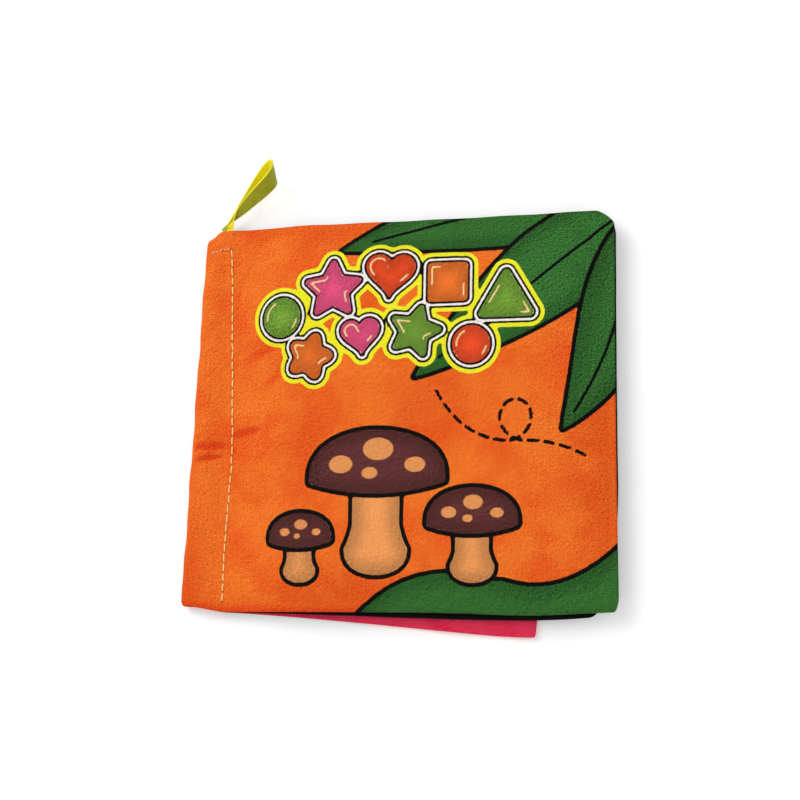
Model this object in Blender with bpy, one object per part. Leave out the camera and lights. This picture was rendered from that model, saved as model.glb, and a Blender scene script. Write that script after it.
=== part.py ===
"""Crinkle cloth book for a baby: three padded cloth leaves sewn together along the
spine, with a satin ribbon loop in the head seam. It lies shut on its back cover.

Units are metres. +X runs from the spine to the free edges, +Y to the head of the
book, +Z up. The origin is the middle of the flat face that the book rests on.
"""

import math

import bpy
import numpy as np

# Book
leaf_width = 0.108
leaf_height = 0.108
spine_width_head = 0.0083
spine_width_foot = 0.0121
spine_slant_width = 0.0039
spine_slant_height = 0.0036
spine_foot_corner_width = 0.0008
spine_foot_corner_height = 0.0016
spine_foot_rise = 0.0011
spine_crown_share = 0.025

# Cloth and filling
cloth = 0.0004
layer_gap = 0.0003
padding_thickness = 0.0012
film_thickness = 0.0003
flat_cut = 0.0005
hinge_clearance = 0.0006

# Soft form of a leaf
edge_roundness = 0.016
stitch_roundness = 0.026
head_draw_in = 0.0005
edge_draw_in = 0.0003
padding_corner = 0.012
filling_share = 0.60

# Front leaf
front_edge_height = 0.0060
front_foot_drop = 0.0003
front_foot_lift = 0.0005
front_foot_lift_power = 7
front_head_drop = -0.0004
front_foot_corner_width = 0.0015
front_foot_corner_height = 0.0045
front_head_corner_width = 0.0050
front_head_corner_height = 0.0040

# Middle leaf: its foot hangs out a little below the front leaf's
middle_edge_height = 0.0030
middle_extra_width = 0.0002
middle_foot_drop = 0.0034
middle_foot_lift = 0.0034
middle_foot_lift_power = 7
middle_foot_corner_width = 0.0070
middle_foot_corner_height = 0.0350
middle_head_corner_width = 0.0050
middle_head_corner_height = 0.0060

# Back leaf: it was sewn in askew, so its free corner hangs out furthest
back_edge_height = 0.0006
back_foot_width = 0.0860
back_head_width = 0.0975
back_foot_drop = 0.0085
back_foot_lift = 0.0043
back_foot_lift_power = 12
back_head_drop = 0.0077
back_corner_width = 0.0010
back_corner_height = 0.0016

# Seams draw the cloth into shallow waves
ripple_height = 0.00022
ripple_length = 0.019

# Ribbon loop: both edges of the band run from the head seam to the tip and back. At the
# seam the two legs lean together as a trough, and beyond the pinch they bow apart.
ribbon_thickness = 0.0003
ribbon_clearance = 0.0007
ribbon_base_width = 0.0027
ribbon_base_left = 0.0029
ribbon_base_depth = 0.0004
ribbon_eye_width = 0.0028
ribbon_tail_length = 0.014
ribbon_upper_run = (0.0143, 0.0178, 0.0075)
ribbon_lower_run = (0.0146, 0.0127, 0.0020)
ribbon_pinch_share = 0.30
ribbon_widest_share = 0.8

# Counts of grid cells and of steps along the ribbon
edge_cells = 3
stitch_cells = 4
filling_cells = 9
spine_top_steps = 5
fold_steps = 6
ribbon_steps = 30
ribbon_strips = 2

# Sizes that follow from the ones above
seam_thickness = 2 * cloth + layer_gap
leaf_thickness = 2 * cloth + padding_thickness + film_thickness + 3 * layer_gap
leaf_count = 3
spine_height = leaf_count * seam_thickness + (leaf_count - 1) * layer_gap
stitch_x = -leaf_width / 2
foot_y = -leaf_height / 2
head_y = leaf_height / 2
hinge_z = spine_height
tail_z = (leaf_count - 1) * (seam_thickness + layer_gap)
ribbon_origin = (stitch_x, head_y + ribbon_clearance, tail_z + cloth / 2)
row_knots = (0, edge_cells, edge_cells + filling_cells, 2 * edge_cells + filling_cells)
row_index = np.arange(row_knots[-1] + 1)
column_knots = (0, stitch_cells, stitch_cells + filling_cells,
                stitch_cells + filling_cells + edge_cells)
column_index = np.arange(column_knots[-1] + 1)


def smooth(u):
    """Rises from 0 to 1 and is level at both ends."""
    u = np.clip(u, 0, 1)
    return u * u * (3 - 2 * u)


def unsmooth(share):
    """The u at which smooth(u) is this share."""
    return 0.5 - math.sin(math.asin(1 - 2 * share) / 3)


def crown(u):
    """Rises steeply from 0 at a seam and is level at 1, as a stuffed edge does."""
    return 1 - (1 - np.clip(u, 0, 1)) ** 2


def uncrown(share):
    """The u at which crown(u) is this share."""
    return 1 - math.sqrt(1 - share)


def close_at_ends(cells):
    """Shares from 0 to 1, closer together at both ends."""
    return (1 - np.cos(np.linspace(0, math.pi, cells + 1))) / 2


def corner_cut(distance, width, height):
    """How far a rounded corner stands back from the side, this far from the end."""
    u = 1 - np.clip(distance / height, 0, 1)
    return width * (1 - np.sqrt(1 - u * u))


def spine_width(y):
    """The strip between the fold and the stitch line, wider at the foot, where its corner
    is round. Its head corner is cut off at a slant."""
    t = (y - foot_y) / leaf_height
    width = spine_width_foot + (spine_width_head - spine_width_foot) * t
    width = width - corner_cut(y - foot_y, spine_foot_corner_width, spine_foot_corner_height)
    return width - spine_slant_width * np.clip(1 - (head_y - y) / spine_slant_height, 0, 1)


def trimmed(x, y):
    """y in the spine, whose foot is cut at a slant that rises towards the fold."""
    share = np.clip(-x / spine_width_foot, 0, 1)
    return y + spine_foot_rise * share * (head_y - y) / leaf_height


def spine_inside(y, low, high):
    """The x inside the fold that a strip between these two heights can reach."""
    half = spine_height / 2
    off_middle = max(abs(low - half), abs(high - half))
    bend = half - cloth - layer_gap
    reach = math.sqrt(max(bend * bend - off_middle * off_middle, 0))
    return half - spine_width(y) - reach


class Leaf:
    """One leaf's outline and the heights of its two faces. Its x starts at the stitch line.
    The foot hangs lower by the drop, and near the free edge the lift brings it back up."""

    def __init__(self, order, edge_height, foot_width, head_width, foot_drop, foot_lift,
                 foot_lift_power, head_drop, foot_corner, head_corner):
        self.order = order
        self.edge_height = edge_height
        self.foot_width = foot_width
        self.head_width = head_width
        self.foot_drop = foot_drop
        self.foot_lift = foot_lift
        self.foot_lift_power = foot_lift_power
        self.head_drop = head_drop
        self.foot_corner = foot_corner
        self.head_corner = head_corner
        self.full_width = max(foot_width, head_width)

    def foot(self, x):
        u = np.clip(x / self.full_width, 0, 1)
        return foot_y - self.foot_drop * u + self.foot_lift * u**self.foot_lift_power

    def head(self, x):
        u = np.clip(x / self.full_width, 0, 1)
        return head_y - self.head_drop * u - head_draw_in * 4 * u * (1 - u)

    def free_edge(self, t):
        """The free edge's x, at a share t of the way from the foot to the head."""
        side = self.foot_width + (self.head_width - self.foot_width) * t
        side = side - edge_draw_in * 4 * t * (1 - t)
        side = side - corner_cut(t * leaf_height, *self.foot_corner)
        return side - corner_cut((1 - t) * leaf_height, *self.head_corner)

    def faces(self, x, y):
        """Heights of the underside and of the top at x, y."""
        foot, head = self.foot(x), self.head(x)
        to_free = self.free_edge((y - foot) / (head - foot)) - x
        fullness = (crown(to_free / edge_roundness) * crown((y - foot) / edge_roundness)
                    * crown((head - y) / edge_roundness))
        opening = smooth(x / stitch_roundness)
        at_stitch = self.order * (seam_thickness + layer_gap)
        at_edge = at_stitch + (self.edge_height - at_stitch) * opening
        wave = np.sin(2 * math.pi * (x + y) / ripple_length + self.order)
        at_edge = at_edge + ripple_height * wave * opening
        full_height = self.order * (leaf_thickness + layer_gap) - flat_cut
        at_middle = at_stitch + (full_height - at_stitch) * opening
        underside = at_edge * (1 - fullness) + at_middle * fullness
        thickness = seam_thickness + (leaf_thickness - seam_thickness) * opening * fullness
        return np.maximum(underside, 0), underside + thickness


front_leaf = Leaf(2, front_edge_height, leaf_width, leaf_width, front_foot_drop,
                  front_foot_lift, front_foot_lift_power, front_head_drop,
                  (front_foot_corner_width, front_foot_corner_height),
                  (front_head_corner_width, front_head_corner_height))
middle_leaf = Leaf(1, middle_edge_height, leaf_width + middle_extra_width,
                   leaf_width + middle_extra_width, middle_foot_drop, middle_foot_lift,
                   middle_foot_lift_power, 0,
                   (middle_foot_corner_width, middle_foot_corner_height),
                   (middle_head_corner_width, middle_head_corner_height))
back_leaf = Leaf(0, back_edge_height, back_foot_width, back_head_width, back_foot_drop,
                 back_foot_lift, back_foot_lift_power, back_head_drop,
                 (back_corner_width, back_corner_height),
                 (back_corner_width, back_corner_height))


def clear_scene():
    for obj in list(bpy.data.objects):
        bpy.data.objects.remove(obj, do_unlink=True)


def fabric(name, colour, roughness, metallic=0.0):
    material = bpy.data.materials.new(name)
    material.use_nodes = True
    shader = material.node_tree.nodes["Principled BSDF"]
    shader.inputs["Base Color"].default_value = (*colour, 1)
    shader.inputs["Roughness"].default_value = roughness
    shader.inputs["Metallic"].default_value = metallic
    return material


def hinge_empty(name, location):
    empty = bpy.data.objects.new(name, None)
    empty.location = location
    bpy.context.collection.objects.link(empty)
    return empty


def add_piece(name, points, faces, material, parent=None):
    """A mesh object. Its own origin is at its parent's, or else at the book's."""
    origin = np.array(parent.location if parent else (0, 0, 0))
    mesh = bpy.data.meshes.new(name)
    mesh.from_pydata((np.asarray(points) - origin).tolist(), [], faces)
    mesh.materials.append(material)
    mesh.shade_smooth()
    mesh.set_sharp_from_angle(angle=math.radians(50))
    obj = bpy.data.objects.new(name, mesh)
    obj.parent = parent
    bpy.context.collection.objects.link(obj)
    return obj


def add_layer(name, upper, lower, material, parent=None):
    """A closed sheet between two grids of points of the same size."""
    rows, columns = upper.shape[:2]
    points = np.concatenate([upper.reshape(-1, 3), lower.reshape(-1, 3)])
    top = np.arange(rows * columns).reshape(rows, columns)
    under = top + rows * columns
    faces = []
    for i in range(rows - 1):
        for j in range(columns - 1):
            faces.append((top[i, j], top[i, j + 1], top[i + 1, j + 1], top[i + 1, j]))
            faces.append((under[i, j], under[i + 1, j], under[i + 1, j + 1], under[i, j + 1]))
    rim = [(0, j) for j in range(columns - 1)]
    rim += [(i, columns - 1) for i in range(rows - 1)]
    rim += [(rows - 1, j) for j in range(columns - 1, 0, -1)]
    rim += [(i, 0) for i in range(rows - 1, 0, -1)]
    for here, after in zip(rim, rim[1:] + rim[:1]):
        faces.append((under[here], under[after], top[after], top[here]))
    faces = [tuple(int(k) for k in face) for face in faces]
    return add_piece(name, points, faces, material, parent)


def place(x, y, z):
    """Grid of points in the book's frame, from x measured at the stitch line."""
    return np.stack([x + stitch_x, trimmed(x, y), z + 0 * x], axis=-1)


def row_heights():
    """How far up the leaf each row of cells lies. The padding's rows are the middle ones."""
    margin = edge_roundness * uncrown(filling_share)
    rows = np.interp(row_index, row_knots, (0, margin, leaf_height - margin, leaf_height))
    padding_height = leaf_height - 2 * margin
    rows[edge_cells:-edge_cells] = margin + padding_height * close_at_ends(filling_cells)
    return rows


def leaf_grid(leaf, starts_in_spine):
    """x and y over a leaf, rows from the foot to the head. The block of cells inside
    the first and last edge cells is the padding's, and its corners are rounded."""
    margin = edge_roundness * uncrown(filling_share)
    padding_start = stitch_roundness * unsmooth(filling_share)
    inner = close_at_ends(filling_cells)
    rows = row_heights()
    end = np.minimum(rows, leaf_height - rows) - margin
    inset = corner_cut(np.maximum(end, 0), padding_corner, padding_corner)
    t = rows / leaf_height
    if starts_in_spine:
        low = leaf.order * (seam_thickness + layer_gap)
        start = spine_inside(foot_y + rows, low, low + seam_thickness)
    else:
        start = hinge_clearance + 0 * t
    free = leaf.free_edge(t)
    x = np.empty((len(rows), len(column_index)))
    for i in range(len(rows)):
        left, right = padding_start + inset[i], free[i] - margin - inset[i]
        x[i] = np.interp(column_index, column_knots, (start[i], left, right, free[i]))
        x[i, stitch_cells:-edge_cells] = left + (right - left) * inner
    share = t[:, None]
    return x, leaf.foot(x) + (leaf.head(x) - leaf.foot(x)) * share


def add_pages(leaf, upper_name, upper_material, lower_name, lower_material, parent,
              starts_in_spine=False):
    """The two cloths that are sewn together round a leaf."""
    x, y = leaf_grid(leaf, starts_in_spine)
    under, top = leaf.faces(x, y)
    add_layer(upper_name, place(x, y, top), place(x, y, top - cloth), upper_material, parent)
    add_layer(lower_name, place(x, y, under + cloth), place(x, y, under), lower_material,
              parent)


def add_filling(leaf, film_above, padding_name, film_name, parent, starts_in_spine=False):
    """The padding and the crinkle film inside a leaf."""
    inside = (slice(edge_cells, -edge_cells), slice(stitch_cells, -edge_cells))
    x, y = (grid[inside] for grid in leaf_grid(leaf, starts_in_spine))
    under, top = leaf.faces(x, y)
    low, high = under + cloth + layer_gap, top - cloth - layer_gap
    if film_above:
        film_top, film_low = high, high - film_thickness
        padding_top, padding_low = film_low - layer_gap, low
    else:
        film_top, film_low = low + film_thickness, low
        padding_top, padding_low = high, film_top + layer_gap
    add_layer(padding_name, place(x, y, padding_top), place(x, y, padding_low), wadding, parent)
    add_layer(film_name, place(x, y, film_top), place(x, y, film_low), film, parent)


def spine_section(width):
    """The folded cloth's section, x and z: along the outside, then back along the inside."""
    half = spine_height / 2
    outside, inside = [], []
    for shell, depth in ((outside, 0), (inside, cloth)):
        bend = half - depth
        run = width - half
        for i in range(spine_top_steps):
            u = i / spine_top_steps
            lift = spine_crown_share * run * 4 * u * (1 - u)
            shell.append((-layer_gap - (run - layer_gap) * u, half + bend + lift))
        for i in range(fold_steps + 1):
            turn = math.pi * i / fold_steps
            shell.append((-run - bend * math.sin(turn), half + bend * math.cos(turn)))
        for i in range(spine_top_steps - 1, -1, -1):
            u = i / spine_top_steps
            shell.append((-layer_gap - (run - layer_gap) * u, half - bend))
    return outside, inside


def add_spine_wrap():
    """The cover cloth where it goes round the back of the book, from seam to seam."""
    points, faces = [], []
    rows = foot_y + row_heights()
    for y in rows:
        outside, inside = spine_section(float(spine_width(y)))
        points += [(x + stitch_x, trimmed(x, y), z) for x, z in outside + inside[::-1]]
    ring = len(points) // len(rows)
    for row in range(len(rows) - 1):
        for k in range(ring):
            here, after = row * ring + k, row * ring + (k + 1) % ring
            faces.append((here, here + ring, after + ring, after))
    last = (len(rows) - 1) * ring
    for k in range(ring // 2 - 1):
        near, far = k, ring - 1 - k
        faces.append((near, near + 1, far - 1, far))
        faces.append((last + near, last + far, last + far - 1, last + near + 1))
    add_piece("spine_wrap", points, faces, orange_print)


def add_spine_strip(name, height, head, material):
    """A flat strip of cloth inside the spine, from near the fold to near the stitch line."""
    y = foot_y + row_heights()
    y = np.append(y[y < head], head)[:, None]
    left = spine_inside(y, height, height + cloth)
    s = np.array([[0, 1]])
    x = left + (-layer_gap - left) * s
    y = y + 0 * x
    add_layer(name, place(x, y, height + cloth), place(x, y, height + 0 * x), material)


def add_ribbon_tails():
    """The ribbon's two ends, pressed flat between the cloths of the spine at its head."""
    x = np.array([[-ribbon_base_left, -layer_gap]] * 2)
    y = np.array([[head_y - ribbon_tail_length] * 2, [head_y] * 2])
    add_layer("ribbon_tails", place(x, y, tail_z + cloth), place(x, y, tail_z + 0 * x), satin)


def add_ribbon_loop(parent):
    """The loop: its upper and lower edges follow their own runs, and its legs bow apart."""
    base = np.array(ribbon_origin) + (ribbon_base_width / 2 - ribbon_base_left, 0, 0)
    upper_run, lower_run = np.array(ribbon_upper_run), np.array(ribbon_lower_run)
    leg_side = np.cross(lower_run - upper_run, upper_run + lower_run)
    leg_side = leg_side / np.linalg.norm(leg_side)
    across = np.array([1, 0, 0])
    bow_power = (2 * ribbon_widest_share - 1) / (1 - ribbon_widest_share)
    teardrop_peak = 2 * math.sqrt((1 - ribbon_widest_share) * ribbon_widest_share**(bow_power + 1))
    leg_spread = (ribbon_thickness + layer_gap) / 2

    def middle_surface(phase, v):
        out = (1 - math.cos(phase)) / 2
        turn = float(smooth(out / ribbon_pinch_share))
        side = across + (leg_side - across) * turn
        side = side / np.linalg.norm(side)
        bow = math.sin(phase) * math.sin(phase / 2) ** bow_power / teardrop_peak
        trough = (ribbon_base_width / 2 - leg_spread) * (1 - turn) * (1 - v)
        spread = ribbon_eye_width / 2 * bow * turn
        spread += (leg_spread + trough) * math.cos(phase / 2)
        upper = base + upper_run * out
        lower = base + lower_run * out - (0, 0, ribbon_base_depth)
        return upper + (lower - upper) * v + side * spread

    step = 0.5 / ribbon_steps
    outer, inner = [], []
    for i in range(ribbon_steps + 1):
        phase = 2 * math.pi * i / ribbon_steps
        before, after = max(phase - step, 0), min(phase + step, 2 * math.pi)
        for rows in (outer, inner):
            rows.append([])
        for j in range(ribbon_strips + 1):
            v = j / ribbon_strips
            along = middle_surface(after, v) - middle_surface(before, v)
            width = middle_surface(phase, 1) - middle_surface(phase, 0)
            normal = np.cross(width, along)
            normal = normal / np.linalg.norm(normal) * ribbon_thickness / 2
            centre = middle_surface(phase, v)
            outer[-1].append(centre + normal)
            inner[-1].append(centre - normal)
    add_layer("ribbon_loop", np.array(outer), np.array(inner), satin, parent)


clear_scene()

orange_print = fabric("orange_print", (0.86, 0.15, 0.015), 0.85)
green_print = fabric("green_print", (0.02, 0.07, 0.025), 0.85)
navy_print = fabric("navy_print", (0.02, 0.02, 0.06), 0.85)
teal_print = fabric("teal_print", (0.03, 0.18, 0.20), 0.85)
pink_print = fabric("pink_print", (0.75, 0.04, 0.12), 0.85)
wadding = fabric("wadding", (0.85, 0.85, 0.82), 0.95)
film = fabric("film", (0.75, 0.78, 0.80), 0.25)
satin = fabric("satin", (0.70, 0.62, 0.02), 0.35)

front_hinge = hinge_empty("front_leaf_hinge", (stitch_x, 0, hinge_z))
back_hinge = hinge_empty("back_leaf_hinge", (stitch_x, 0, 0))
ribbon_hinge = hinge_empty("ribbon_hinge", ribbon_origin)

# Spine and middle leaf: the sewn block that the other leaves turn on
add_spine_wrap()
add_spine_strip("back_lining_tuck", seam_thickness - cloth, head_y, pink_print)
add_spine_strip("front_lining_tuck", tail_z, head_y - ribbon_tail_length - layer_gap,
                navy_print)
add_ribbon_tails()
add_pages(middle_leaf, "middle_page_front", green_print, "middle_page_back", teal_print,
          None, starts_in_spine=True)
add_filling(middle_leaf, True, "middle_padding", "middle_crinkle_film", None,
            starts_in_spine=True)

# Front leaf
add_pages(front_leaf, "front_cover_cloth", orange_print, "front_lining", navy_print,
          front_hinge)
add_filling(front_leaf, False, "front_padding", "front_crinkle_film", front_hinge)

# Back leaf
add_pages(back_leaf, "back_lining", pink_print, "back_cover_cloth", orange_print, back_hinge)
add_filling(back_leaf, True, "back_padding", "back_crinkle_film", back_hinge)

# Ribbon
add_ribbon_loop(ribbon_hinge)
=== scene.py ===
import math

import bpy
import numpy as np
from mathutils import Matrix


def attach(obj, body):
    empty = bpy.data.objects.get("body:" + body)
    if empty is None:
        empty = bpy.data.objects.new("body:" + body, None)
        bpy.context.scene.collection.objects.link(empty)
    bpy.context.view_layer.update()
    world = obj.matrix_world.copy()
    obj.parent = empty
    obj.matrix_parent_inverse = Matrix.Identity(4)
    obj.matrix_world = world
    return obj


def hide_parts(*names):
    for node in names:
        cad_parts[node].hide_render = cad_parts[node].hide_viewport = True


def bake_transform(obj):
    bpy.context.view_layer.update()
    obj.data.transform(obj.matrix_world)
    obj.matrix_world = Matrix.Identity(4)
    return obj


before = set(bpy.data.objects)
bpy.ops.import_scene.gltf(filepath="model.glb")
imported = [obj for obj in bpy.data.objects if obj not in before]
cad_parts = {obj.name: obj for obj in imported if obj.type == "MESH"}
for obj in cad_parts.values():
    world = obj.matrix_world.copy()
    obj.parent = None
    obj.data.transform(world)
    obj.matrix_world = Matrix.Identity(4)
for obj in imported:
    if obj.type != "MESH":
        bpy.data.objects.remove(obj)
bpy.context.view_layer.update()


# Camera: stands above the foot of the book and a little to its right, and looks down at
# the cover through a short telephoto lens.
def stand(name, data):
    """Stands a camera, a lamp or a mesh in the scene."""
    thing = bpy.data.objects.new(name, data)
    bpy.context.collection.objects.link(thing)
    return thing


camera_data = bpy.data.cameras.new("camera")
camera_data.sensor_width = 36
camera_data.lens = 71.1
camera = stand("camera", camera_data)
camera.location = (0.0787, -0.0748, 0.4206)
camera.rotation_euler = (0.18538, 0.19573, 0.01379)
bpy.context.scene.camera = camera
bpy.context.scene.view_settings.view_transform = "Standard"


# The three leaves: each is two plies of polyester twill sewn together face to face and
# turned, so that its seams are inside and its edges are round. The plies lie flat on each
# other at the spine and stand apart over the filling.
stitch_x = -0.054
book_height = leaf_width = 0.108
foot_y, head_y = -book_height / 2, book_height / 2
cloth, ply, thinnest_ply = 0.0004, 0.00034, 0.00001
layer_gap = 0.0003
seam_thickness = 2 * cloth + layer_gap
leaf_thickness, leaf_sinks = 0.0032, 0.0005
spine_height = 3 * seam_thickness + 2 * layer_gap
edge_roundness = 0.016
stitch_roundness = 0.026
wave_height, wave_length = 0.00022, 0.019
head_draw_in, edge_draw_in = 0.0005, 0.0003
foot_fall_power, foot_sag_at, foot_sag_reach = 1.2, 0.78, 0.13


def smooth(u):
    """Rises from 0 to 1 as u does, and is level at both ends: 3u^2 - 2u^3."""
    u = np.clip(u, 0, 1)
    return u * u * (3 - 2 * u)


def crown(u):
    """Rises steeply from 0 at a seam and is level at 1: one less the square of 1 - u."""
    return 1 - (1 - np.clip(u, 0, 1)) ** 2


def bell(u):
    """Is 1 at 0 and falls away on both sides: e to the power of less the square of u."""
    return np.exp(-u**2)


def corner_cut(distance, width, height, power=2.0):
    """How far a rounded corner stands back from the side, this far from the end: a quarter
    of an ellipse, or of a superellipse, which is a straight slant at power 1."""
    u = 1 - np.clip(distance / height, 0, 1)
    return width * (1 - (1 - u**power) ** (1 / power))


class Leaf:
    """One leaf's outline and the heights of its two faces. Its x starts at the stitch
    line. The foot is a falling curve plus a power of x that lifts its far end, less a bell
    where it sags. The head and the free edge are straight lines less shallow parabolas,
    with the corners cut back."""

    def __init__(self, **sizes):
        for name, value in sizes.items():
            setattr(self, name, value)
        self.full_width = max(self.foot_width, self.head_width)

    def foot(self, x):
        u = np.clip(x / self.full_width, 0, 1)
        sag = self.foot_sag * bell((u - foot_sag_at) / foot_sag_reach)
        falling = self.foot_drop * u**foot_fall_power + sag
        return foot_y - falling + self.foot_lift * u**self.foot_lift_power

    def head(self, x):
        u = np.clip(x / self.full_width, 0, 1)
        return head_y - self.head_drop * u - head_draw_in * 4 * u * (1 - u)

    def free_edge(self, t):
        side = self.foot_width + (self.head_width - self.foot_width) * t
        side = side - edge_draw_in * 4 * t * (1 - t)
        side = side - corner_cut(t * book_height, *self.foot_corner)
        return side - corner_cut((1 - t) * book_height, *self.head_corner)

    def up(self, x, t):
        """The y at this share of the way from foot to head."""
        return self.foot(x) + (self.head(x) - self.foot(x)) * t

    def shares(self, x, y):
        """Shares of the way from the stitch line to the free edge, and from foot to head."""
        t = (y - self.foot(x)) / (self.head(x) - self.foot(x))
        return x / self.free_edge(np.clip(t, 0, 1)), t

    def to_seam(self, x, y):
        """Distance to the nearest of the three sewn edges."""
        to_free = self.free_edge(np.clip(self.shares(x, y)[1], 0, 1)) - x
        return np.maximum(np.minimum(np.minimum(y - self.foot(x), self.head(x) - y), to_free), 0)

    def faces(self, x, y):
        """Heights of the underside and of the top: flat at the stitch line, a low pillow
        over the filling, made of the crowns of the three sewn edges, with a slow wave."""
        foot, head = self.foot(x), self.head(x)
        t = np.clip((y - foot) / (head - foot), 0, 1)
        fullness = (crown((self.free_edge(t) - x) / edge_roundness)
                    * crown((y - foot) / edge_roundness) * crown((head - y) / edge_roundness))
        opening = smooth(x / stitch_roundness)
        wave = wave_height * np.sin(2 * math.pi * (x + y) / wave_length + self.order) * opening
        at_stitch = self.order * (seam_thickness + layer_gap)
        at_edge = at_stitch + (self.edge_height - at_stitch) * opening + wave
        filled = self.order * (leaf_thickness + layer_gap) - leaf_sinks
        at_middle = at_stitch + (filled - at_stitch) * opening
        underside = at_edge * (1 - fullness) + at_middle * fullness
        thickness = seam_thickness + (leaf_thickness - seam_thickness) * opening * fullness
        return np.maximum(underside, 0), underside + thickness


front_leaf = Leaf(order=2, edge_height=0.0060, foot_width=leaf_width, head_width=leaf_width,
                  foot_drop=0.0003, foot_sag=0.0007, foot_lift=0.0005, foot_lift_power=7,
                  head_drop=-0.0004, foot_corner=(0.0015, 0.0045),
                  head_corner=(0.0051, 0.0041, 1.4))
middle_leaf = Leaf(order=1, edge_height=0.0030, foot_width=0.1082, head_width=0.1082,
                   foot_drop=0.0034, foot_sag=0, foot_lift=0.0034, foot_lift_power=7,
                   head_drop=0, foot_corner=(0.0080, 0.0350), head_corner=(0.0050, 0.0060))
back_leaf = Leaf(order=0, edge_height=0.0006, foot_width=0.0857, head_width=0.0975,
                 foot_drop=0.0084, foot_sag=0, foot_lift=0.0043, foot_lift_power=12,
                 head_drop=0.0077, foot_corner=(0.0005, 0.0008), head_corner=(0.0010, 0.0016))


# Wrinkles: the cloth is cut a little too large for the seams that hold it, so it gathers
# into fine puckers along them. Each face that shows gets its own sheet of cloth, swollen
# and settled between pinned seams, and two pages that lie on each other share one set.
wrinkle_rows, wrinkle_columns = 92, 104
cover_start = -0.11
cover_puckers, strip_puckers, page_puckers, back_puckers = 0.0006, 0.0004, 0.00028, 0.0005


def smoothed(field, reach):
    """The field averaged over its neighbours by a bell curve, along both its sides."""
    for _ in range(2):
        place = np.arange(len(field))
        bell = np.exp(-0.5 * ((place[:, None] - place) / reach) ** 2)
        field = ((bell / bell.sum(axis=1, keepdims=True)) @ field).T
    return field


def refined(field, times):
    """The field at a closer spacing, by a cubic through every four neighbours."""
    for _ in range(2):
        last = len(field) - 1
        place = np.linspace(0, last, last * times + 1)
        cell = np.minimum(place.astype(int), last - 1)
        u = place - cell
        weights = (-u + 2 * u**2 - u**3, 2 - 5 * u**2 + 3 * u**3, u + 4 * u**2 - 3 * u**3,
                   -u**2 + u**3)
        field = sum(weight[:, None] / 2 * field[np.clip(cell + k - 1, 0, last)]
                    for k, weight in enumerate(weights)).T
    return field


def cells(index):
    """The four corners of every cell in a grid of point numbers, one way round."""
    return np.stack([index[:-1, :-1], index[:-1, 1:], index[1:, 1:], index[1:, :-1]], -1)


def mesh_piece(name, points, faces):
    mesh = bpy.data.meshes.new(name)
    mesh.from_pydata(points.reshape(-1, 3).tolist(), [], faces)
    return stand(name, mesh)


def settled_cloth(leaf, face, start, growth, seed):
    """Relief of a sheet of cloth over one face of a leaf, in metres on a regular grid of
    shares: how far the cloth simulation moves each point, less its neighbours' average. The
    sheet is simulated at twenty times its size."""
    enlarged, unevenness, average_reach, edge_cells, times = 20, 0.00003, 6, 2, 3
    s, t = np.meshgrid(np.linspace(start, 1, wrinkle_columns), np.linspace(0, 1, wrinkle_rows))
    x = s * leaf.free_edge(t)
    y = leaf.up(x, t)
    rest = leaf.faces(x, y)[face] * (1 if face else -1)
    z = rest + np.random.default_rng(seed).normal(0, unevenness, x.shape)
    index = np.arange(x.size).reshape(x.shape)
    sheet = mesh_piece("settling", np.stack([x, y, z], axis=-1) * enlarged,
                       cells(index).reshape(-1, 4).tolist())
    pinned = np.zeros(x.shape, bool)
    pinned[[0, -1]] = True
    pinned[:, [0, np.abs(s[0]).argmin(), -1]] = True
    sheet.vertex_groups.new(name="seams").add(index[pinned].tolist(), 1.0, "REPLACE")
    simulation = sheet.modifiers.new("cloth", "CLOTH")
    settings = {"vertex_group_mass": "seams", "quality": 5, "mass": 0.3,
                "bending_stiffness": 0.5, "shrink_min": -growth, "use_pressure": True,
                "uniform_pressure_force": 2}
    for name, value in settings.items():
        setattr(simulation.settings, name, value)
    simulation.settings.effector_weights.gravity = 0
    simulation.collision_settings.use_collision = False
    frames = 20
    simulation.point_cache.frame_start = 1
    simulation.point_cache.frame_end = frames
    for number in range(1, frames + 1):
        bpy.context.scene.frame_set(number)
    moved = sheet.evaluated_get(bpy.context.evaluated_depsgraph_get()).to_mesh()
    heights = np.empty(len(moved.vertices) * 3, np.float32)
    moved.vertices.foreach_get("co", heights)
    lift = heights.reshape(*x.shape, 3)[..., 2] / enlarged - rest
    bpy.data.meshes.remove(sheet.data)
    bpy.context.scene.frame_set(1)
    i, j = np.indices(x.shape)
    from_edge = np.minimum(np.minimum(i, wrinkle_rows - 1 - i),
                           np.minimum(j, wrinkle_columns - 1 - j))
    relief = (lift - smoothed(lift, average_reach)) * np.minimum(from_edge / edge_cells, 1)
    return refined(relief, times)


def limited(relief, most):
    """Bends the relief over smoothly, so that it never passes this height."""
    return most * np.tanh(relief / most)


def sampled(field, s, t):
    """The field at shares s across and t up, linear between its four neighbours."""
    rows, columns = field.shape
    across, along = np.clip(s, 0, 1) * (columns - 1), np.clip(t, 0, 1) * (rows - 1)
    j = np.minimum(across.astype(int), columns - 2)
    i = np.minimum(along.astype(int), rows - 2)
    a, b = across - j, along - i
    return ((field[i, j] * (1 - a) + field[i, j + 1] * a) * (1 - b)
            + (field[i + 1, j] * (1 - a) + field[i + 1, j + 1] * a) * b)


cover_relief = settled_cloth(front_leaf, 1, cover_start, growth=0.02, seed=3)
front_inside_relief = settled_cloth(front_leaf, 0, 0, growth=0.016, seed=5)
back_inside_relief = settled_cloth(back_leaf, 1, 0, growth=0.016, seed=8)
back_cover_relief = settled_cloth(back_leaf, 0, 0, growth=0.018, seed=11)


def relief_of(leaf, field, start, x, y, most):
    """A leaf's relief at any x, y. Beyond the seams there is none."""
    s, t = leaf.shares(x, y)
    return limited(sampled(field, (s - start) / (1 - start), t), most)


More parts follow.
